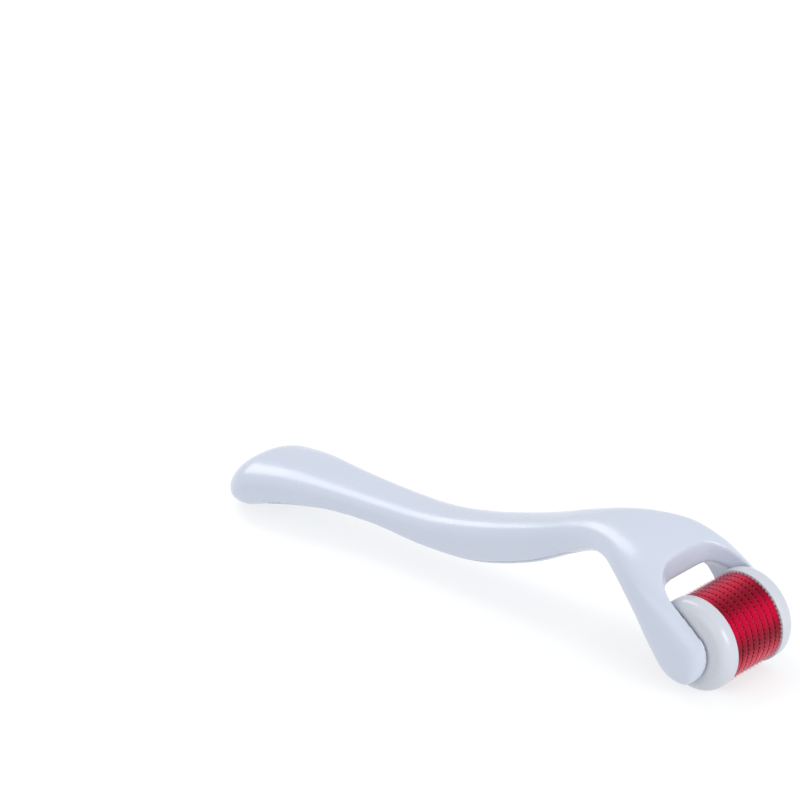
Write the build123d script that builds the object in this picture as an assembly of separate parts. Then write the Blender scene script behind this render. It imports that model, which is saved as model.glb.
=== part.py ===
from build123d import *
import math
import os

# A skin needling roller: a hollow plastic handle whose fork carries a small drum of toothed steel discs.
# Millimetres, +Z up, +X from the tail of the handle to the drum, +Y along the drum's axis.
# The origin is under the middle of the roller's length, on the surface it rests on.

# Drum
axis_x = 65.0
axis_z = 10.0
cap_radius = 10.0
tip_radius = 10.0
spacer_radius = 9.5
tooth_root_radius = 9.25
tooth_base_width = 0.5
disc_count = 9
teeth_per_disc = 60
disc_thickness = 0.2
stack_width = 13.5
cap_thickness = 4.0
cap_edge_radius = 2.4
spacer_edge_radius = 0.15
core_across_flats = 8.0
key_clearance = 0.05
spigot_radius = 2.5
spigot_length = 1.6
fit_clearance = 0.05

# Running fit of the drum in the fork
trunnion_radius = 1.5
running_clearance = 0.05
trunnion_end_gap = 0.1
thrust_boss_radius = 2.8
thrust_boss_height = 0.3
side_gap = 0.45
bore_depth = 1.9

# Handle
tail_x = -75.0
tail_radius = 10.7
tail_end_height = 7.4
rest_land_front_x = -68.0
arm_half_span = 14.3
arm_straight_x = 58.0
paddle_centre = Vector(63.8, 9.3)
paddle_radius = 8.0
paddle_lean = Vector(0.53, -0.848)
web_front_x = 55.3
web_under_z = 19.6
web_under_back_x = 43.0
slot_corner_radius = 7.0
web_corner_radius = 6.0

# Hollow grip and the cover let into its underside
wall = 2.2
cover_thickness = 1.6
cover_rim = 1.2
cover_start_x = -63.5
cover_end_x = 30.0
pin_radius = 1.1
pin_height = 2.2
pin_foot_depth = 0.8
boss_radius = 2.1
pin_places = (-57.0, -32.0, -2.0, 19.0)
rib_thickness = 1.0
rib_places = (-50.0, -42.0, -18.0, 8.0)

# Grip stations from the tail forward: x, half width, underside z, top z
grip_stations = (
    (-64.3, 10.7, 1.2, 11.8),
    (-55.0, 9.3, 4.0, 12.8),
    (-43.0, 7.3, 5.8, 12.7),
    (-30.0, 6.4, 6.2, 12.7),
    (-15.0, 6.3, 5.2, 13.3),
    (0.0, 6.4, 6.2, 16.2),
    (15.0, 6.4, 10.6, 20.5),
    (27.0, 6.3, 16.4, 24.8),
    (35.0, 7.1, 19.8, 27.2),
)

# Side view of the shoulder, where the spine leans over into the arms: (x, z)
shoulder_top = ((41.8, 28.2), (49.4, 27.8), (57.0, 25.0), (63.1, 20.9), (67.0, 17.0))
shoulder_under = ((40.2, 20.7), (44.4, 19.5), (47.6, 16.7), (50.2, 13.1), (53.0, 8.9))

# Plan view of the shoulder, where it widens to the arms: (x, half width)
shoulder_plan = ((41.5, 9.2), (48.0, 12.1), (53.4, 13.9), (56.0, 14.2))

room = 100.0


def side_slab(profile, half_width):
    """A side-view profile thickened across the handle."""
    return Pos(0, half_width, 0) * extrude(Plane.XZ * profile, 2 * half_width)


def side_view():
    """The handle's profile from the side: flat under the tail, leaning over to a round paddle."""
    lean = paddle_lean.normalized()
    across = Vector(-lean.Y, lean.X) * paddle_radius
    paddle_top, paddle_under = paddle_centre + across, paddle_centre - across
    tops = [(x, top_z) for x, _, _, top_z in grip_stations]
    unders = [(x, under_z) for x, _, under_z, _ in grip_stations]
    tail_top = (tail_x, tail_end_height)
    land_front = (rest_land_front_x, 0)
    top = Spline(tail_top, *tops, *shoulder_top, paddle_top)
    under = Spline(land_front, *unders, *shoulder_under, paddle_under)
    paddle = ThreePointArc(paddle_top, paddle_centre + lean * paddle_radius, paddle_under)
    tail = Polyline(tail_top, (tail_x, 0), land_front)
    return make_face([top, paddle, under, tail])


def plan_view():
    """The handle's outline from above: a half round tail, a waist and a fork as wide as its arms."""
    widths = [(x, half_width) for x, half_width, _, _ in grip_stations]
    middle_x = tail_x + tail_radius
    widths += list(shoulder_plan) + [(arm_straight_x, arm_half_span)]
    left = Spline(*widths)
    right = Spline(*[(x, -half_width) for x, half_width in widths])
    tail = ThreePointArc((middle_x, -tail_radius), (tail_x, 0), (middle_x, tail_radius))
    front = Polyline(
        (arm_straight_x, arm_half_span), (room, arm_half_span), (room, -arm_half_span), (arm_straight_x, -arm_half_span)
    )
    return make_face([tail, left, front, right])


def handle_outside():
    outside = side_slab(side_view(), arm_half_span + 1) & extrude(plan_view(), room)
    return outside - fork_gap() - trunnion_bores()


def fork_inner_face():
    """Distance of each arm's inner face from the middle plane."""
    return stack_width / 2 + cap_thickness + side_gap


def fork_gap():
    """The room between the arms: in front of the web, and below it."""
    width = 2 * fork_inner_face()
    align = (Align.MIN, Align.CENTER, Align.MIN)
    front = Pos(web_front_x, 0, -1) * Box(room, width, room, align=align)
    front_corners = front.edges().filter_by(Axis.Z).group_by(Axis.X)[0]
    front = fillet(front_corners, slot_corner_radius)
    below = Pos(web_under_back_x, 0, -1) * Box(room, width, web_under_z + 1, align=align)
    below_corners = below.edges().filter_by(Axis.X).group_by(Axis.Z)[-1]
    below = fillet(below_corners, web_corner_radius)
    return front + below


def along_y(radius, start_y, end_y):
    """A round bar on the drum's axis, from one y to another."""
    middle = (start_y + end_y) / 2
    return Pos(axis_x, middle, axis_z) * Rot(90, 0, 0) * Cylinder(radius, abs(end_y - start_y))


def trunnion_bores():
    inner = fork_inner_face()
    radius = trunnion_radius + running_clearance
    bores = [along_y(radius, side * (inner - 1), side * (inner + bore_depth)) for side in (-1, 1)]
    return bores[0] + bores[1]


def seam_curve():
    """The seam between body and cover, one cover thickness above the grip's underside."""
    return Spline(*[(x, under_z + cover_thickness) for x, _, under_z, _ in grip_stations])


def seam_height(x):
    """Height of the seam above the resting plane at one place along the grip."""
    crossing = Line((x, -room), (x, room))
    return seam_curve().intersect(crossing).vertices()[0].Y


def grip_prism(margin, start_x, end_x):
    """The grip's outline from above, drawn in by a margin and cut square at both ends, as an upright prism."""
    lefts = Spline(*[(x, half_width - margin) for x, half_width, _, _ in grip_stations])
    rights = Spline(*[(x, margin - half_width) for x, half_width, _, _ in grip_stations])
    ends = [Line(lefts @ k, rights @ k) for k in (0, 1)]
    outline = make_face([lefts, ends[0], rights, ends[1]])
    between = Pos(start_x, 0, 0) * Box(end_x - start_x, room, room, align=(Align.MIN, Align.CENTER, Align.MIN))
    return extrude(outline, room) & between


def cover_room():
    """Everything under the seam, inside the cover's outline."""
    seam = seam_curve()
    start, end = seam @ 0, seam @ 1
    below = make_face([seam, Polyline(end, (end.X, -room), (start.X, -room), start)])
    return side_slab(below, arm_half_span) & grip_prism(cover_rim, cover_start_x, cover_end_x)


def cavity():
    """The hollow of the grip, one wall inside its top and sides and open below."""
    tops = Spline(*[(x, top_z - wall) for x, _, _, top_z in grip_stations])
    unders = Spline(*[(x, under_z) for x, _, under_z, _ in grip_stations])
    ends = [Line(tops @ k, unders @ k) for k in (0, 1)]
    side = side_slab(make_face([tops, ends[0], unders, ends[1]]), arm_half_span)
    ledge = wall - cover_rim
    return side & grip_prism(wall, cover_start_x + ledge, cover_end_x - ledge)


def stiffeners():
    """Cross ribs and the round bosses that take the cover's pins."""
    ribs = [Pos(x, 0, 0) * Box(rib_thickness, room, room) for x in rib_places]
    bosses = [Pos(x, 0, 0) * Cylinder(boss_radius, room) for x in pin_places]
    return ribs + bosses


def cover_pins(radius, extra_height):
    """Round pins that stand on the cover, from inside its thickness to above the seam."""
    pins = []
    for x in pin_places:
        foot = seam_height(x) - pin_foot_depth
        height = pin_foot_depth + pin_height + extra_height
        base = (Align.CENTER, Align.CENTER, Align.MIN)
        pins.append(Pos(x, 0, foot) * Cylinder(radius, height, align=base))
    return pins


def handle_body(outside):
    hollow = cavity()
    for stiffener in stiffeners():
        hollow = hollow - stiffener
    body = outside - cover_room() - hollow
    for socket in cover_pins(pin_radius + fit_clearance, fit_clearance):
        body = body - socket
    return body


def handle_cover(outside):
    cover = outside & cover_room()
    for pin in cover_pins(pin_radius, 0):
        cover = cover + pin
    return cover


def hexagon_bar(across_flats, start_y, end_y):
    """A hexagonal bar on the drum's axis."""
    section = RegularPolygon(across_flats / 2, 6, major_radius=False)
    bar = extrude(Plane.XZ * section, abs(end_y - start_y))
    return Pos(axis_x, max(start_y, end_y), axis_z) * bar


def drum_core():
    """The keyed rod that the discs and spacers slide on, with a round spigot at each end."""
    half = stack_width / 2
    rod = hexagon_bar(core_across_flats, -half, half)
    return rod + along_y(spigot_radius, -half - spigot_length, half + spigot_length)


def end_cap(side):
    """A plastic disc with a rounded rim, a thrust boss and a stub trunnion on its outer face."""
    inner_y = side * stack_width / 2
    outer_y = inner_y + side * cap_thickness
    disc = along_y(cap_radius, inner_y, outer_y)
    rim = disc.edges().filter_by(GeomType.CIRCLE).sort_by(Axis.Y)[-1 if side > 0 else 0]
    disc = fillet(rim, cap_edge_radius)
    boss = along_y(thrust_boss_radius, outer_y - side, outer_y + side * thrust_boss_height)
    trunnion_end = side * (fork_inner_face() + bore_depth - trunnion_end_gap)
    trunnion = along_y(trunnion_radius, outer_y - side, trunnion_end)
    socket_depth = spigot_length + fit_clearance
    socket = along_y(spigot_radius + fit_clearance, inner_y - side, inner_y + side * socket_depth)
    return disc + boss + trunnion - socket


def keyed_bore(start_y, end_y):
    return hexagon_bar(core_across_flats + 2 * key_clearance, start_y - 1, end_y + 1)


def needle_disc(start_y, half_pitch_turn):
    """A thin steel star: pointed teeth on a round blank, with a hexagonal bore."""
    half_tooth = math.asin(tooth_base_width / 2 / tooth_root_radius)
    pitch = 2 * math.pi / teeth_per_disc
    points = []
    for k in range(teeth_per_disc):
        turn = (k + half_pitch_turn) * pitch
        for radius, offset in ((tooth_root_radius, -half_tooth), (tip_radius, 0), (tooth_root_radius, half_tooth)):
            points.append((radius * math.sin(turn + offset), radius * math.cos(turn + offset)))
    star = extrude(Plane.XZ * make_face(Polyline(*points, close=True)), disc_thickness)
    star = Pos(axis_x, start_y + disc_thickness, axis_z) * star
    return star - keyed_bore(start_y, start_y + disc_thickness)


def drum_spacer(start_y, width):
    """A translucent ring that holds two neighbouring discs apart."""
    blank = along_y(spacer_radius, start_y, start_y + width)
    blank = fillet(blank.edges().filter_by(GeomType.CIRCLE), spacer_edge_radius)
    return blank - keyed_bore(start_y, start_y + width)


def drum_pieces():
    pieces = {}
    spacer_width = (stack_width - disc_count * disc_thickness) / (disc_count - 1)
    for k in range(disc_count):
        disc_start = -stack_width / 2 + k * (disc_thickness + spacer_width)
        pieces[f"needle_disc_{k + 1}"] = needle_disc(disc_start, (k % 2) / 2)
        if k < disc_count - 1:
            pieces[f"drum_spacer_{k + 1}"] = drum_spacer(disc_start + disc_thickness, spacer_width)
    return pieces


def main():
    os.makedirs("parts", exist_ok=True)
    outside = handle_outside()
    pieces = {
        "handle_body": handle_body(outside),
        "handle_cover": handle_cover(outside),
        "drum_core": drum_core(),
        "end_cap_right": end_cap(-1),
        "end_cap_left": end_cap(1),
    }
    pieces.update(drum_pieces())
    for name, piece in pieces.items():
        export_step(piece, f"parts/{name}.step")


main()
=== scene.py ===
import math

import bmesh
import bpy
from mathutils import Matrix, Vector


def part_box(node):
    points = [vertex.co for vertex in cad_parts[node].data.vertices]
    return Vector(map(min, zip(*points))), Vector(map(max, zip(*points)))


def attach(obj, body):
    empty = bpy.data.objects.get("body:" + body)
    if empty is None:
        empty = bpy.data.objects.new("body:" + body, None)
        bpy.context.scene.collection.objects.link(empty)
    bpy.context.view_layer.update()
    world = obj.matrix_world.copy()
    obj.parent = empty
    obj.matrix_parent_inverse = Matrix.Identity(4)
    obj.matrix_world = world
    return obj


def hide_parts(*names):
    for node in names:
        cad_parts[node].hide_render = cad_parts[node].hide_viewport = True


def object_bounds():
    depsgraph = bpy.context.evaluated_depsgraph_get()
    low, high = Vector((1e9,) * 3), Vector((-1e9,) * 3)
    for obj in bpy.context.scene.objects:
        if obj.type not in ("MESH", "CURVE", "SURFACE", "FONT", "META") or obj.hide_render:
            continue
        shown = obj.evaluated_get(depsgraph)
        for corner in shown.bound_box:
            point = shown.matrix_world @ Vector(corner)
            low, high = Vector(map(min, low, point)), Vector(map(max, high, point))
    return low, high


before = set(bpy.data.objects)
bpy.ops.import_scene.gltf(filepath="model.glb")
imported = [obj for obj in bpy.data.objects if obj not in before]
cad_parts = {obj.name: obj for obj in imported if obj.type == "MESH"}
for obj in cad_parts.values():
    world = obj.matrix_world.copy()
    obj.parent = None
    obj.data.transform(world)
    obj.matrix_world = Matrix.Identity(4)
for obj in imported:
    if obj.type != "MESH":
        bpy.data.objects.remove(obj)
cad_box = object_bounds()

MM = 0.001

# --- Handle shell and underside cover -------------------------------------------------------------------
# The handle is injection moulded in glossy white ABS in two pieces: a shell that runs from the rounded
# tail through the grip into the fork's two arms, and a slim cover that is let into the grip's underside.
# The skin is one loft of rounded sections, cut open for the drum and parted where the cover lies.

body_low, body_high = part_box("handle_body")
cap_low, cap_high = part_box("end_cap_right")
axis_x = (cap_low[0] + cap_high[0]) / 2
axis_z = (cap_low[2] + cap_high[2]) / 2

tail_x = cad_box[0][0] + 0.8 * MM
tail_radius = 10.7 * MM
tail_nose = 2.4 * MM
tail_bluntness = 2.2
arm_half_span = body_high[1] - 0.05 * MM
arm_squareness = 3.2
paddle_centre = Vector((axis_x - 1.7 * MM, 0, axis_z - 1.0 * MM))
paddle_reach = 9.2 * MM
paddle_length = 6.6 * MM
paddle_crown = 0.5 * MM
paddle_lean = Vector((0.53, 0, -0.848)).normalized()

# Sections from the tail forward, in millimetres: underside (x, z), top (x, z), half width, and how square
# the section is above and below
sections = (
    ((-64.3, 1.5), (-64.3, 11.9), 10.8, 2.2, 2.3),
    ((-55.0, 4.0), (-55.0, 12.8), 9.3, 2.3, 2.4),
    ((-43.0, 5.8), (-43.0, 12.7), 7.3, 2.4, 2.4),
    ((-30.0, 6.2), (-30.0, 12.6), 6.4, 2.4, 2.4),
    ((-15.0, 5.1), (-15.0, 13.2), 6.3, 2.4, 2.4),
    ((0.0, 6.1), (0.0, 16.1), 6.4, 2.4, 2.4),
    ((15.0, 10.6), (15.0, 20.5), 6.4, 2.4, 2.4),
    ((27.0, 16.4), (27.0, 24.8), 6.3, 2.4, 2.4),
    ((35.0, 19.8), (35.0, 27.2), 7.2, 2.3, 2.4),
    ((40.2, 20.5), (41.8, 28.0), 9.1, 2.3, 2.4),
    ((44.3, 19.2), (49.4, 27.3), 11.8, 2.3, 2.4),
    ((47.5, 16.5), (57.0, 24.5), 13.5, 2.3, 2.6),
    ((50.1, 12.9), (63.2, 20.9), 14.1, 2.5, 2.8),
    ((52.7, 8.6), (67.4, 17.4), 14.25, 2.8, 3.1),
)
section_sides = 96
section_steps = 8
tail_steps = 14
tail_spacing = 1.2
paddle_steps = 12


def section_ring(under, top, half_width, square_above, square_below):
    """Points of one section: an oval whose corners fill out as its squareness goes past 2."""
    middle, rise = (under + top) / 2, (top - under) / 2
    ring = []
    for k in range(section_sides):
        turn = 2 * math.pi * k / section_sides
        across, up = math.cos(turn), math.sin(turn)
        squareness = square_above if up > 0 else square_below
        across = math.copysign(abs(across) ** (2 / squareness), across)
        up = math.copysign(abs(up) ** (2 / squareness), up)
        ring.append(middle + rise * up + Vector((0, half_width * across, 0)))
    return ring


def between(before, start, end, after, share):
    """A value on the smooth curve from start to end, whose slopes there follow the neighbours."""
    slope_in, slope_out = (end - before) / 2, (after - start) / 2
    squared, cubed = share**2, share**3
    blend = start * (2 * cubed - 3 * squared + 1) + end * (3 * squared - 2 * cubed)
    return blend + slope_in * (cubed - 2 * squared + share) + slope_out * (cubed - squared)


def tail_rings():
    """The tail swells from a blunt nose to the first section."""
    rings = []
    tail_middle = tail_x + tail_radius
    first_under, first_top = sections[0][0][1] * MM, sections[0][1][1] * MM
    for k in range(1, tail_steps):
        turn = math.pi / 2 * (k / tail_steps) ** tail_spacing
        back = tail_middle - tail_radius * math.cos(turn)
        swell = math.sin(turn)
        under = Vector((back, 0, first_under * (1 - math.cos(turn)) ** 2 + tail_nose * (1 - swell) ** 3))
        top = Vector((back, 0, tail_nose + (first_top - tail_nose) * swell))
        half_width = sections[0][2] * MM * swell ** (2 / tail_bluntness)
        rings.append(section_ring(under, top, half_width, *sections[0][3:]))
    return rings


def handle_rings():
    """All the rings of the skin, from the tail's nose to the round ends of the arms."""
    rings = tail_rings()
    across = Vector((-paddle_lean.z, 0, paddle_lean.x)) * paddle_reach
    spine = [
        (Vector((under[0], 0, under[1])) * MM, Vector((top[0], 0, top[1])) * MM, width * MM, *squareness)
        for under, top, width, *squareness in sections
    ]
    paddle_under, paddle_top = paddle_centre - across, paddle_centre + across
    spine.append((paddle_under, paddle_top, arm_half_span, arm_squareness, arm_squareness))
    for k in range(len(spine) - 1):
        before, start = spine[max(k - 1, 0)], spine[k]
        end, after = spine[k + 1], spine[min(k + 2, len(spine) - 1)]
        for step in range(section_steps):
            share = step / section_steps
            values = [between(before[i], start[i], end[i], after[i], share) for i in range(5)]
            rings.append(section_ring(*values))
    for k in range(paddle_steps):
        turn = math.pi / 2 * k / paddle_steps
        ahead = paddle_centre + paddle_lean * paddle_length * math.sin(turn)
        reach = across * math.cos(turn)
        width = arm_half_span - paddle_crown * (1 - math.cos(turn))
        rings.append(section_ring(ahead - reach, ahead + reach, width, arm_squareness, arm_squareness))
    return rings


def mesh_object(name, vertices, faces):
    """A new object in the scene with a mesh of these points and faces."""
    mesh = bpy.data.meshes.new(name)
    mesh.from_pydata(vertices, [], faces)
    made = bpy.data.objects.new(name, mesh)
    bpy.context.collection.objects.link(made)
    return made


def lofted(name, rings):
    """A closed skin through a row of rings with equal numbers of points."""
    vertices = [point for ring in rings for point in ring]
    count = len(rings[0])
    faces = [list(range(count))[::-1], [len(vertices) - count + k for k in range(count)]]
    for row in range(len(rings) - 1):
        for k in range(count):
            a, b = row * count + k, row * count + (k + 1) % count
            faces.append([a, b, b + count, a + count])
    made = mesh_object(name, vertices, faces)
    outward = bmesh.new()
    outward.from_mesh(made.data)
    bmesh.ops.recalc_face_normals(outward, faces=outward.faces)
    outward.to_mesh(made.data)
    outward.free()
    return made


def rounded_block(name, low, high, radius):
    """A block with every edge rounded, used to cut the room for the drum."""
    made = mesh_object(name, [], [])
    block = bmesh.new()
    bmesh.ops.create_cube(block, size=1)
    middle = (Vector(low) + Vector(high)) / 2
    size = Vector(high) - Vector(low)
    place = Matrix.Translation(middle) @ Matrix.Diagonal((*size, 1))
    bmesh.ops.transform(block, matrix=place, verts=block.verts)
    bmesh.ops.bevel(
        block,
        geom=block.edges[:],
        offset=radius,
        segments=8,
        profile=0.5,
        affect="EDGES",
        clamp_overlap=True,
    )
    block.to_mesh(made.data)
    block.free()
    return made


def apply_modifiers(made):
    """Turns the object's modifiers into plain mesh."""
    bpy.context.view_layer.update()
    graph = bpy.context.evaluated_depsgraph_get()
    mesh = bpy.data.meshes.new_from_object(made.evaluated_get(graph))
    made.modifiers.clear()
    old = made.data
    made.data = mesh
    bpy.data.meshes.remove(old)


def cut(made, cutter, operation):
    """Takes the cutter's room out of the object, or keeps only what lies inside it."""
    step = made.modifiers.new(cutter.name, "BOOLEAN")
    step.operation = operation
    step.solver = "EXACT"
    step.object = cutter
    apply_modifiers(made)


def discard(made):
    """Removes a cutter once it has been used."""
    mesh = made.data
    bpy.data.objects.remove(made)
    bpy.data.meshes.remove(mesh)


def soften(made, rounds):
    """Evens the skin out and leaves every cut edge with the small radius that a mould gives it."""
    even = made.modifiers.new("even", "REMESH")
    even.mode = "VOXEL"
    even.voxel_size = skin_grid
    even.adaptivity = 0
    smooth = made.modifiers.new("smooth", "SMOOTH")
    smooth.factor = 0.5
    smooth.iterations = rounds
    apply_modifiers(made)
    made.data.shade_smooth()


# The drum's room is open in front of the web, and below it as far back as the neck
web_front_x = 55.3 * MM
web_under_z = 19.6 * MM
web_back_x = 40 * MM
arm_inner_y = 11.2 * MM
slot_corner = 7.5 * MM
web_corner = 6.0 * MM
well_outside = 20 * MM
ahead = cad_box[1][0] + well_outside
below = cad_box[0][2] - well_outside
above = cad_box[1][2] + well_outside
front_room = rounded_block(
    "front_room", (web_front_x, -arm_inner_y, below), (ahead, arm_inner_y, above), slot_corner
)
under_room = rounded_block(
    "under_room", (web_back_x, -arm_inner_y, below), (ahead, arm_inner_y, web_under_z), web_corner
)

# The cover lies inside a narrow rim, flush with the underside, and a fine gap shows all round it
cover_start_x = -62.0 * MM
cover_end_x = 30.0 * MM
cover_rim = 1.6 * MM
cover_depth = 1.6 * MM
cover_corner = 4.0 * MM
cover_gap = 0.14 * MM
cover_steps = 12
cover_end_margin = 0.02 * MM
cover_spans = 8
skin_grid = 0.34 * MM
shell_rounds = 16
cover_rounds = 10


def underside_stations():
    """Places along the grip's underside, as (x, z, half width), from the tail to past the cover's end."""
    stations = []
    for k in range(cover_spans):
        before, start, end, after = (sections[max(i, 0)] for i in range(k - 1, k + 3))
        for step in range(cover_steps):
            share = step / cover_steps
            x = between(before[0][0], start[0][0], end[0][0], after[0][0], share)
            z = between(before[0][1], start[0][1], end[0][1], after[0][1], share)
            half_width = between(before[2], start[2], end[2], after[2], share)
            stations.append((x * MM, z * MM, half_width * MM))
    return stations


def cover_block(name, grow_by):
    """The room that the cover takes up, from below the grip to its upper face, with round corners."""
    rings = []
    start_x, end_x = cover_start_x - grow_by, cover_end_x + grow_by
    for x, under_z, half_width in underside_stations():
        from_end = min(x - start_x, end_x - x)
        if from_end < cover_end_margin:
            continue
        straight = half_width - cover_rim + grow_by - cover_corner
        into_corner = max(cover_corner - from_end, 0)
        reach = straight + math.sqrt(cover_corner**2 - into_corner**2)
        upper_z = under_z + cover_depth + grow_by
        outline = ((-reach, below), (reach, below), (reach, upper_z), (-reach, upper_z))
        rings.append([Vector((x, y, z)) for y, z in outline])
    return lofted(name, rings)


handle_shell = lofted("handle_shell", handle_rings())
for room in (front_room, under_room):
    cut(handle_shell, room, "DIFFERENCE")
    discard(room)
handle_underside = mesh_object("handle_underside", [], [])
handle_underside.data = handle_shell.data.copy()
shell_limit = cover_block("shell_limit", cover_gap / 2)
cover_limit = cover_block("cover_limit", -cover_gap / 2)
cut(handle_shell, shell_limit, "DIFFERENCE")
cut(handle_underside, cover_limit, "INTERSECT")
discard(shell_limit)
discard(cover_limit)
soften(handle_shell, shell_rounds)
soften(handle_underside, cover_rounds)


def linear(hex_colour):
    """sRGB hex colour as linear red, green, blue and alpha."""
    parts = [int(hex_colour[k : k + 2], 16) / 255 for k in (1, 3, 5)]
    return [c / 12.92 if c <= 0.04045 else ((c + 0.055) / 1.055) ** 2.4 for c in parts] + [1.0]


def add_node(tree, kind, inputs=None, **settings):
    """Adds a node with its settings, and fills inputs, by name or by place, with values or links."""
    node = tree.nodes.new(kind)
    for name, value in settings.items():
        setattr(node, name, value)
    for name, value in (inputs or {}).items():
        if isinstance(value, bpy.types.NodeSocket):
            tree.links.new(value, node.inputs[name])
        else:
            node.inputs[name].default_value = value
    return node


def new_material(name):
    """An empty material and its node tree."""
    material = bpy.data.materials.new(name)
    material.use_nodes = True
    material.node_tree.nodes.clear()
    return material, material.node_tree


# Glossy moulded ABS: a cool white with a faint lavender cast, slightly uneven gloss from the mould's
# polish, and a very shallow orange-peel ripple that softens long reflections.
def moulded_abs(name, light, shade, gloss):
    """Glossy ABS between two close tones; gloss is the roughness of its best polished patches."""
    cast_size = 24 * MM
    smudge_size = 7 * MM
    peel_size = 1.6 * MM
    peel_depth = 0.02 * MM
    material, tree = new_material(name)
    place = add_node(tree, "ShaderNodeTexCoord").outputs["Object"]
    cast = add_node(tree, "ShaderNodeTexNoise", {"Vector": place, "Scale": 1 / cast_size, "Detail": 2.0})
    colour = add_node(
        tree,
        "ShaderNodeMix",
        {"Factor": cast.outputs["Fac"], "A": linear(light), "B": linear(shade)},
        data_type="RGBA",
    )
    smudge = add_node(
        tree, "ShaderNodeTexNoise", {"Vector": place, "Scale": 1 / smudge_size, "Detail": 4.0}
    )
    rough = add_node(
        tree,
        "ShaderNodeMapRange",
        {
            "Value": smudge.outputs["Fac"],
            "From Min": 0.3,
            "From Max": 0.7,
            "To Min": gloss,
            "To Max": gloss + 0.09,
        },
    )
    peel = add_node(tree, "ShaderNodeTexNoise", {"Vector": place, "Scale": 1 / peel_size, "Detail": 2.0})
    ripple = add_node(
        tree, "ShaderNodeBump", {"Height": peel.outputs["Fac"], "Strength": 0.2, "Distance": peel_depth}
    )
    shader = add_node(
        tree,
        "ShaderNodeBsdfPrincipled",
        {
            "Base Color": colour.outputs["Result"],
            "Roughness": rough.outputs["Result"],
            "Normal": ripple.outputs["Normal"],
            "IOR": 1.53,
        },
    )
    add_node(tree, "ShaderNodeOutputMaterial", {"Surface": shader.outputs["BSDF"]})
    return material


handle_plastic = moulded_abs("glossy moulded white ABS", "#bfc5d2", "#b9c0cf", 0.2)
for piece, node in ((handle_shell, "handle_body"), (handle_underside, "handle_cover")):
    piece.data.materials.clear()
    piece.data.materials.append(handle_plastic)
    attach(piece, "handle")
    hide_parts(node)

# --- End caps -------------------------------------------------------------------------------------------
# Two white ABS discs close the drum. Each is moulded with a well rounded outer edge, and carries a low
# thrust boss and a stub trunnion that springs into the fork arm's blind bore.


def lathed(name, profile, sides):
    """A closed skin turned about the drum's axis; the profile is a loop of (y, radius) points."""
    rings = []
    for k in range(sides):
        turn = 2 * math.pi * k / sides
        rings.append(
            [Vector((axis_x + r * math.sin(turn), y, axis_z + r * math.cos(turn))) for y, r in profile]
        )
    count = len(profile)
    faces = []
    for row in range(sides):
        for k in range(count - 1):
            a, b = row * count + k, ((row + 1) % sides) * count + k
            faces.append([a, b, b + 1, a + 1])
    made = mesh_object(name, [point for ring in rings for point in ring], faces)
    tidy = bmesh.new()
    tidy.from_mesh(made.data)
    bmesh.ops.remove_doubles(tidy, verts=tidy.verts, dist=1e-7)
    bmesh.ops.recalc_face_normals(tidy, faces=tidy.faces)
    tidy.to_mesh(made.data)
    tidy.free()
    return made


def quarter_round(centre, radius, start, end, steps):
    """Points of an arc between two angles, in degrees, as (y, distance from the axis) pairs."""
    points = []
    for k in range(steps + 1):
        turn = math.radians(start + (end - start) * k / steps)
        points.append((centre[0] + radius * math.cos(turn), centre[1] + radius * math.sin(turn)))
    return points


cap_radius = (cap_high[2] - cap_low[2]) / 2
stack_half = 6.75 * MM
cap_thickness = 4.0 * MM
cap_round = 2.4 * MM
inner_round = 0.15 * MM
boss_radius = 2.8 * MM
boss_round = 0.1 * MM
boss_foot = 0.3 * MM
boss_height = 0.3 * MM
trunnion_radius = 1.5 * MM
trunnion_round = 0.25 * MM
cap_sides = 160
cap_plastic = moulded_abs("glossy moulded white ABS, neutral", "#bcc0c7", "#b7bbc4", 0.22)

for side, node in ((-1, "end_cap_right"), (1, "end_cap_left")):
    outer = stack_half + cap_thickness
    boss_end = outer + boss_height
    end = abs(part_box(node)[0][1] if side < 0 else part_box(node)[1][1])
    inner_arc = (stack_half + inner_round, cap_radius - inner_round)
    outer_arc = (outer - cap_round, cap_radius - cap_round)
    boss_arc = (boss_end - boss_round, boss_radius - boss_round)
    trunnion_arc = (end - trunnion_round, trunnion_radius - trunnion_round)
    profile = [(stack_half, 0.0)]
    profile += quarter_round(inner_arc, inner_round, 180, 90, 3)
    profile += quarter_round(outer_arc, cap_round, 90, 0, 14)
    profile += [(outer, boss_radius + boss_foot)]
    profile += quarter_round(boss_arc, boss_round, 90, 0, 3)
    profile += [(boss_end, trunnion_radius)]
    profile += quarter_round(trunnion_arc, trunnion_round, 90, 0, 4)
    profile += [(end, 0.0)]
    cap = lathed(node + "_moulding", [(side * y, r) for y, r in profile], cap_sides)
    cap.data.shade_smooth()
    cap.data.materials.append(cap_plastic)
    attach(cap, "roller")
    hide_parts(node)

# --- Drum spacers ---------------------------------------------------------------------------------------
# Eight rings of translucent crimson polycarbonate slide on the six-sided core and hold the steel discs
# apart. They are moulded, so their rims are glossy, with faint lines round them from the mould.

disc_count = 9
disc_thickness = 0.2 * MM
spacer_radius = 9.5 * MM
spacer_wall = 4.6 * MM
spacer_edge = 0.18 * MM
spacer_width = (2 * stack_half - disc_count * disc_thickness) / (disc_count - 1)
pitch = spacer_width + disc_thickness


def new_tree(name, sizes):
    """A geometry tree with one named input for each size, and a geometry output."""
    tree = bpy.data.node_groups.new(name, "GeometryNodeTree")
    for label, kind in sizes:
        tree.interface.new_socket(label, in_out="INPUT", socket_type=kind)
    tree.interface.new_socket("Geometry", in_out="OUTPUT", socket_type="NodeSocketGeometry")
    return tree


def grow(name, tree, values):
    """A plain mesh made by a geometry tree with these input values."""
    made = mesh_object(name, [], [])
    step = made.modifiers.new(tree.name, "NODES")
    step.node_group = tree
    for item in tree.interface.items_tree:
        if item.in_out == "INPUT":
            step[item.identifier] = values[item.name]
    apply_modifiers(made)
    return made


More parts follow.
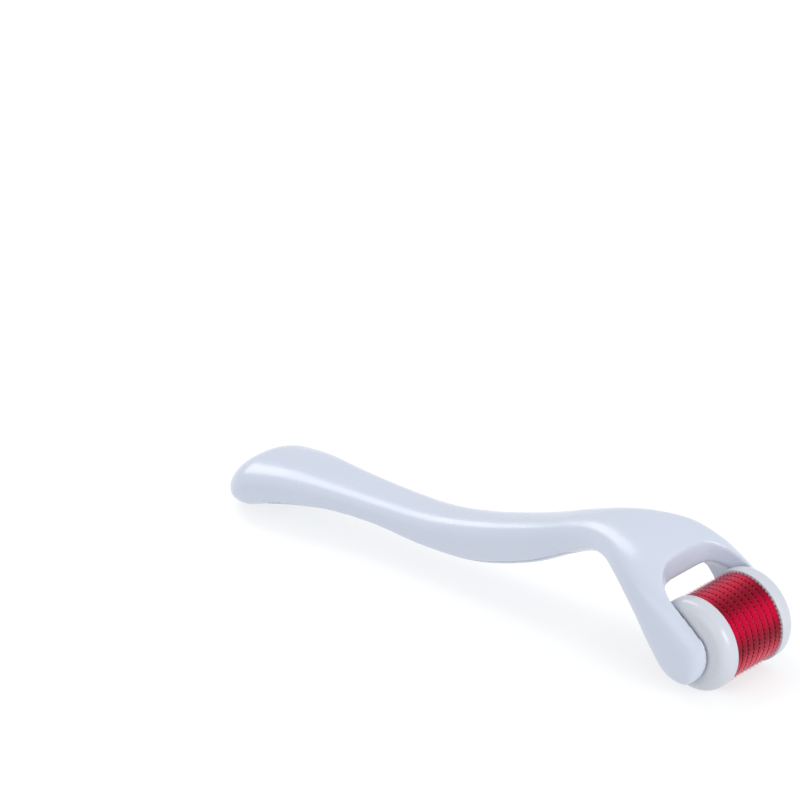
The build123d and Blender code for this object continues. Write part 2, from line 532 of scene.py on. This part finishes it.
# Translucent moulded polycarbonate: a deep crimson that varies a little with its thickness, six broad bands
# of painted shade round the drum's axis, and pink reflections, because light also comes back from inside the
# plastic. The mould's lines are drawn coarser than they are, so that they show.
shade_band_count = 6
tone_size = 3 * MM
line_pitch = 1.13 * MM
line_depth = 0.02 * MM
waves_at_scale_1 = 20 / (2 * math.pi)  # in a metre
spacer_material, spacer_shading = new_material("translucent moulded crimson polycarbonate")
spacer_place = add_node(spacer_shading, "ShaderNodeTexCoord").outputs["Object"]
spacer_tone = add_node(
    spacer_shading, "ShaderNodeTexNoise", {"Vector": spacer_place, "Scale": 1 / tone_size, "Detail": 3.0}
)
spacer_body = add_node(
    spacer_shading,
    "ShaderNodeMix",
    {"Factor": spacer_tone.outputs["Fac"], "A": linear("#c00034"), "B": linear("#9a0024")},
    data_type="RGBA",
)
# Painted shade: six dark bands round the drum's axis, mixed towards #5a0010, stand in for the shade that
# falls across the drum
from_axis = add_node(
    spacer_shading, "ShaderNodeVectorMath", {0: spacer_place, 1: (axis_x, 0, axis_z)}, operation="SUBTRACT"
)
apart = add_node(spacer_shading, "ShaderNodeSeparateXYZ", {"Vector": from_axis.outputs["Vector"]})
around = add_node(
    spacer_shading, "ShaderNodeMath", {0: apart.outputs["X"], 1: apart.outputs["Z"]}, operation="ARCTAN2"
)
six_fold = add_node(
    spacer_shading, "ShaderNodeMath", {0: around.outputs[0], 1: shade_band_count}, operation="MULTIPLY"
)
shade_wave = add_node(spacer_shading, "ShaderNodeMath", {0: six_fold.outputs[0]}, operation="COSINE")
painted_shade_amount = add_node(
    spacer_shading,
    "ShaderNodeMapRange",
    {"Value": shade_wave.outputs[0], "From Min": -1.0, "From Max": 0.8, "To Min": 0.8, "To Max": 0.0},
)
spacer_colour = add_node(
    spacer_shading,
    "ShaderNodeMix",
    {"Factor": painted_shade_amount.outputs["Result"], "A": spacer_body.outputs["Result"], "B": linear("#5a0010")},
    data_type="RGBA",
)
spacer_lines = add_node(
    spacer_shading,
    "ShaderNodeTexWave",
    {
        "Vector": spacer_place,
        "Scale": 1 / (line_pitch * waves_at_scale_1),
        "Distortion": 0.4,
        "Detail": 1.0,
    },
    bands_direction="Y",
)
spacer_bump = add_node(
    spacer_shading,
    "ShaderNodeBump",
    {"Height": spacer_lines.outputs["Fac"], "Strength": 0.3, "Distance": line_depth},
)
spacer_shader = add_node(
    spacer_shading,
    "ShaderNodeBsdfPrincipled",
    {
        "Base Color": spacer_colour.outputs["Result"],
        "Roughness": 0.26,
        "IOR": 1.58,
        "Specular IOR Level": 0.36,
        "Specular Tint": linear("#ff2a60"),
        "Normal": spacer_bump.outputs["Normal"],
    },
)
add_node(spacer_shading, "ShaderNodeOutputMaterial", {"Surface": spacer_shader.outputs["BSDF"]})

spacer_tree = new_tree(
    "spacer rings",
    (
        ("Rings", "NodeSocketInt"),
        ("Pitch", "NodeSocketFloat"),
        ("Width", "NodeSocketFloat"),
        ("Outer radius", "NodeSocketFloat"),
        ("Wall", "NodeSocketFloat"),
        ("Edge radius", "NodeSocketFloat"),
        ("Material", "NodeSocketMaterial"),
    ),
)
given = add_node(spacer_tree, "NodeGroupInput").outputs
half_wall = add_node(spacer_tree, "ShaderNodeMath", {0: given["Wall"], 1: 0.5}, operation="MULTIPLY")
middle_radius = add_node(
    spacer_tree,
    "ShaderNodeMath",
    {0: given["Outer radius"], 1: half_wall.outputs[0]},
    operation="SUBTRACT",
)
path = add_node(
    spacer_tree,
    "GeometryNodeCurvePrimitiveCircle",
    {"Resolution": 128, "Radius": middle_radius.outputs[0]},
)
profile = add_node(
    spacer_tree,
    "GeometryNodeCurvePrimitiveQuadrilateral",
    {"Width": given["Wall"], "Height": given["Width"]},
)
rounded = add_node(
    spacer_tree,
    "GeometryNodeFilletCurve",
    {"Curve": profile.outputs["Curve"], "Radius": given["Edge radius"], "Count": 4},
    mode="POLY",
)
ring = add_node(
    spacer_tree,
    "GeometryNodeCurveToMesh",
    {"Curve": path.outputs["Curve"], "Profile Curve": rounded.outputs["Curve"]},
)
upright = add_node(
    spacer_tree,
    "GeometryNodeTransform",
    {"Geometry": ring.outputs["Mesh"], "Rotation": (math.pi / 2, 0, 0)},
)
step_vector = add_node(spacer_tree, "ShaderNodeCombineXYZ", {"Y": given["Pitch"]})
row = add_node(
    spacer_tree,
    "GeometryNodeMeshLine",
    {"Count": given["Rings"], "Offset": step_vector.outputs["Vector"]},
)
copies = add_node(
    spacer_tree,
    "GeometryNodeInstanceOnPoints",
    {"Points": row.outputs["Mesh"], "Instance": upright.outputs["Geometry"]},
)
real = add_node(spacer_tree, "GeometryNodeRealizeInstances", {"Geometry": copies.outputs["Instances"]})
smooth = add_node(spacer_tree, "GeometryNodeSetShadeSmooth", {"Geometry": real.outputs["Geometry"]})
painted = add_node(
    spacer_tree,
    "GeometryNodeSetMaterial",
    {"Geometry": smooth.outputs["Geometry"], "Material": given["Material"]},
)
add_node(spacer_tree, "NodeGroupOutput", {"Geometry": painted.outputs["Geometry"]})

spacer_rings = grow(
    "spacer_rings",
    spacer_tree,
    {
        "Rings": disc_count - 1,
        "Pitch": pitch,
        "Width": spacer_width,
        "Outer radius": spacer_radius,
        "Wall": spacer_wall,
        "Edge radius": spacer_edge,
        "Material": spacer_material,
    },
)
first_spacer_y = -stack_half + disc_thickness + spacer_width / 2
spacer_rings.data.transform(Matrix.Translation((axis_x, first_spacer_y, axis_z)))
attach(spacer_rings, "roller")
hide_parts(*[f"drum_spacer_{k}" for k in range(1, disc_count)])

# --- Needle discs ---------------------------------------------------------------------------------------
# Nine thin stainless discs are etched with sixty pointed needles each. They are clamped between the
# spacers with every other disc turned by half a pitch, so only the needle points stand out of the rings.

needle_count = 60
needle_width = 0.5 * MM
root_radius = 9.25 * MM
tip_radius = 10.0 * MM

# Etched stainless steel: bright, with a fine grain from the etching bath that breaks up its shine. Its pink
# base colour is a painted reflection of the crimson rings close by.
grain_size = 0.3 * MM
grain_depth = 0.01 * MM
needle_steel, needle_shading = new_material("etched stainless steel, bright")
needle_place = add_node(needle_shading, "ShaderNodeTexCoord").outputs["Object"]
needle_grain = add_node(
    needle_shading, "ShaderNodeTexNoise", {"Vector": needle_place, "Scale": 1 / grain_size, "Detail": 3.0}
)
needle_rough = add_node(
    needle_shading,
    "ShaderNodeMapRange",
    {"Value": needle_grain.outputs["Fac"], "To Min": 0.22, "To Max": 0.45},
)
needle_bump = add_node(
    needle_shading,
    "ShaderNodeBump",
    {"Height": needle_grain.outputs["Fac"], "Strength": 0.3, "Distance": grain_depth},
)
needle_shader = add_node(
    needle_shading,
    "ShaderNodeBsdfPrincipled",
    {
        "Base Color": linear("#d8879c"),
        "Metallic": 1.0,
        "Roughness": needle_rough.outputs["Result"],
        "Normal": needle_bump.outputs["Normal"],
    },
)
add_node(needle_shading, "ShaderNodeOutputMaterial", {"Surface": needle_shader.outputs["BSDF"]})

needle_tree = new_tree(
    "needle rows",
    (
        ("Discs", "NodeSocketInt"),
        ("Needles", "NodeSocketInt"),
        ("Pitch", "NodeSocketFloat"),
        ("Thickness", "NodeSocketFloat"),
        ("Root radius", "NodeSocketFloat"),
        ("Needle height", "NodeSocketFloat"),
        ("Needle width", "NodeSocketFloat"),
        ("Material", "NodeSocketMaterial"),
    ),
)
given = add_node(needle_tree, "NodeGroupInput").outputs
blank = add_node(
    needle_tree,
    "GeometryNodeMeshCylinder",
    {"Vertices": given["Needles"], "Radius": given["Root radius"], "Depth": given["Thickness"]},
)
half_width = add_node(needle_tree, "ShaderNodeMath", {0: given["Needle width"], 1: 0.5}, operation="MULTIPLY")
point = add_node(
    needle_tree,
    "GeometryNodeMeshCone",
    {
        "Vertices": 8,
        "Radius Top": 0.0,
        "Radius Bottom": half_width.outputs[0],
        "Depth": given["Needle height"],
    },
)
flatness = add_node(
    needle_tree,
    "ShaderNodeMath",
    {0: given["Thickness"], 1: given["Needle width"]},
    operation="DIVIDE",
)
flat = add_node(needle_tree, "ShaderNodeCombineXYZ", {"X": 1.0, "Y": flatness.outputs[0], "Z": 1.0})
blade = add_node(
    needle_tree,
    "GeometryNodeTransform",
    {"Geometry": point.outputs["Mesh"], "Scale": flat.outputs["Vector"]},
)
rim = add_node(
    needle_tree,
    "GeometryNodeMeshCircle",
    {"Vertices": given["Needles"], "Radius": given["Root radius"]},
)
where = add_node(needle_tree, "GeometryNodeInputPosition")
spin = add_node(
    needle_tree,
    "FunctionNodeAxesToRotation",
    {"Primary Axis": where.outputs[0], "Secondary Axis": (0, 0, 1)},
    primary_axis="Z",
    secondary_axis="Y",
)
points = add_node(
    needle_tree,
    "GeometryNodeInstanceOnPoints",
    {"Points": rim.outputs["Mesh"], "Instance": blade.outputs["Geometry"], "Rotation": spin.outputs[0]},
)
star = add_node(needle_tree, "GeometryNodeJoinGeometry")
needle_tree.links.new(blank.outputs["Mesh"], star.inputs[0])
needle_tree.links.new(points.outputs["Instances"], star.inputs[0])
upright = add_node(
    needle_tree, "GeometryNodeTransform", {"Geometry": star.outputs[0], "Rotation": (math.pi / 2, 0, 0)}
)
step_vector = add_node(needle_tree, "ShaderNodeCombineXYZ", {"Y": given["Pitch"]})
row = add_node(
    needle_tree,
    "GeometryNodeMeshLine",
    {"Count": given["Discs"], "Offset": step_vector.outputs["Vector"]},
)
order = add_node(needle_tree, "GeometryNodeInputIndex")
odd = add_node(needle_tree, "ShaderNodeMath", {0: order.outputs[0], 1: 2.0}, operation="MODULO")
half_pitch = add_node(needle_tree, "ShaderNodeMath", {0: math.pi, 1: given["Needles"]}, operation="DIVIDE")
turn = add_node(
    needle_tree, "ShaderNodeMath", {0: odd.outputs[0], 1: half_pitch.outputs[0]}, operation="MULTIPLY"
)
stagger = add_node(needle_tree, "ShaderNodeCombineXYZ", {"Y": turn.outputs[0]})
discs = add_node(
    needle_tree,
    "GeometryNodeInstanceOnPoints",
    {
        "Points": row.outputs["Mesh"],
        "Instance": upright.outputs["Geometry"],
        "Rotation": stagger.outputs["Vector"],
    },
)
real = add_node(needle_tree, "GeometryNodeRealizeInstances", {"Geometry": discs.outputs["Instances"]})
painted = add_node(
    needle_tree,
    "GeometryNodeSetMaterial",
    {"Geometry": real.outputs["Geometry"], "Material": given["Material"]},
)
add_node(needle_tree, "NodeGroupOutput", {"Geometry": painted.outputs["Geometry"]})

needle_rows = grow(
    "needle_rows",
    needle_tree,
    {
        "Discs": disc_count,
        "Needles": needle_count,
        "Pitch": pitch,
        "Thickness": disc_thickness,
        "Root radius": root_radius,
        "Needle height": tip_radius - root_radius,
        "Needle width": needle_width,
        "Material": needle_steel,
    },
)
needle_rows.data.transform(Matrix.Translation((axis_x, -stack_half + disc_thickness / 2, axis_z)))
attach(needle_rows, "roller")
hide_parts(*[f"needle_disc_{k}" for k in range(1, disc_count + 1)])

# --- Drum core ------------------------------------------------------------------------------------------
# The six-sided rod that the rings and discs slide on is moulded in the same crimson plastic. Its own
# solid already has the right shape, so it only gets that finish.

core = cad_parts["drum_core"]
core.data.materials.clear()
core.data.materials.append(spacer_material)

# --- Floor, light and camera ----------------------------------------------------------------------------
# A plain white table that is lit from beneath, so that the roller casts next to no shadow, under large
# soft lights. The camera looks down on the drum's end with a long lens.

floor_half = 3
floor_corners = [(x * floor_half, y * floor_half, 0) for x, y in ((-1, -1), (1, -1), (1, 1), (-1, 1))]
floor = mesh_object("floor", floor_corners, [[0, 1, 2, 3]])

# Matt white acrylic over lamps: an even white glow with no shine
floor_material, floor_tree = new_material("white light table")
floor_shader = add_node(
    floor_tree,
    "ShaderNodeBsdfPrincipled",
    {
        "Base Color": (0.3, 0.3, 0.3, 1),
        "Roughness": 0.9,
        "Specular IOR Level": 0.0,
        "Emission Color": (0.98, 0.99, 1.0, 1),
        "Emission Strength": 0.7,
    },
)
add_node(floor_tree, "ShaderNodeOutputMaterial", {"Surface": floor_shader.outputs["BSDF"]})
floor.data.materials.append(floor_material)

world = bpy.data.worlds.new("studio")
bpy.context.scene.world = world
world.use_nodes = True
world.node_tree.nodes["Background"].inputs["Color"].default_value = (0.97, 0.98, 1.0, 1)
world.node_tree.nodes["Background"].inputs["Strength"].default_value = 0.86


def soft_light(name, place, target, size, watts):
    """A rectangular area light turned towards a point."""
    data = bpy.data.lights.new(name, "AREA")
    data.shape = "RECTANGLE"
    data.size, data.size_y = size
    data.energy = watts
    light = bpy.data.objects.new(name, data)
    light.location = place
    light.rotation_euler = (Vector(target) - Vector(place)).to_track_quat("-Z", "Y").to_euler()
    bpy.context.collection.objects.link(light)
    return light


soft_light("tail softbox", (-0.632, 0.17, 0.74), (0, 0, 0.01), (0.32, 1.0), 3.5)
soft_light("front light", (0.95, 0.1, 0.35), (0.06, 0, 0.01), (0.5, 0.5), 4.5)
soft_light("side fill", (0.1, -0.95, 0.4), (0.02, 0, 0.01), (0.9, 0.6), 1.7)

camera_data = bpy.data.cameras.new("camera")
camera_data.sensor_width = 36
camera_data.lens = 270
camera_data.clip_start = 0.05
camera_data.clip_end = 10
camera = bpy.data.objects.new("camera", camera_data)
bpy.context.collection.objects.link(camera)
camera_place = Vector((0.79766, -0.78592, 0.57976))
camera_right = Vector((0.71399, 0.69639, -0.07252))
camera_up = Vector((-0.25519, 0.35529, 0.89925))
camera_back = camera_right.cross(camera_up)
turned = Matrix((camera_right, camera_up, camera_back)).transposed()
camera.matrix_world = Matrix.Translation(camera_place) @ turned.to_4x4()
bpy.context.scene.camera = camera
bpy.context.scene.view_settings.view_transform = "Standard"
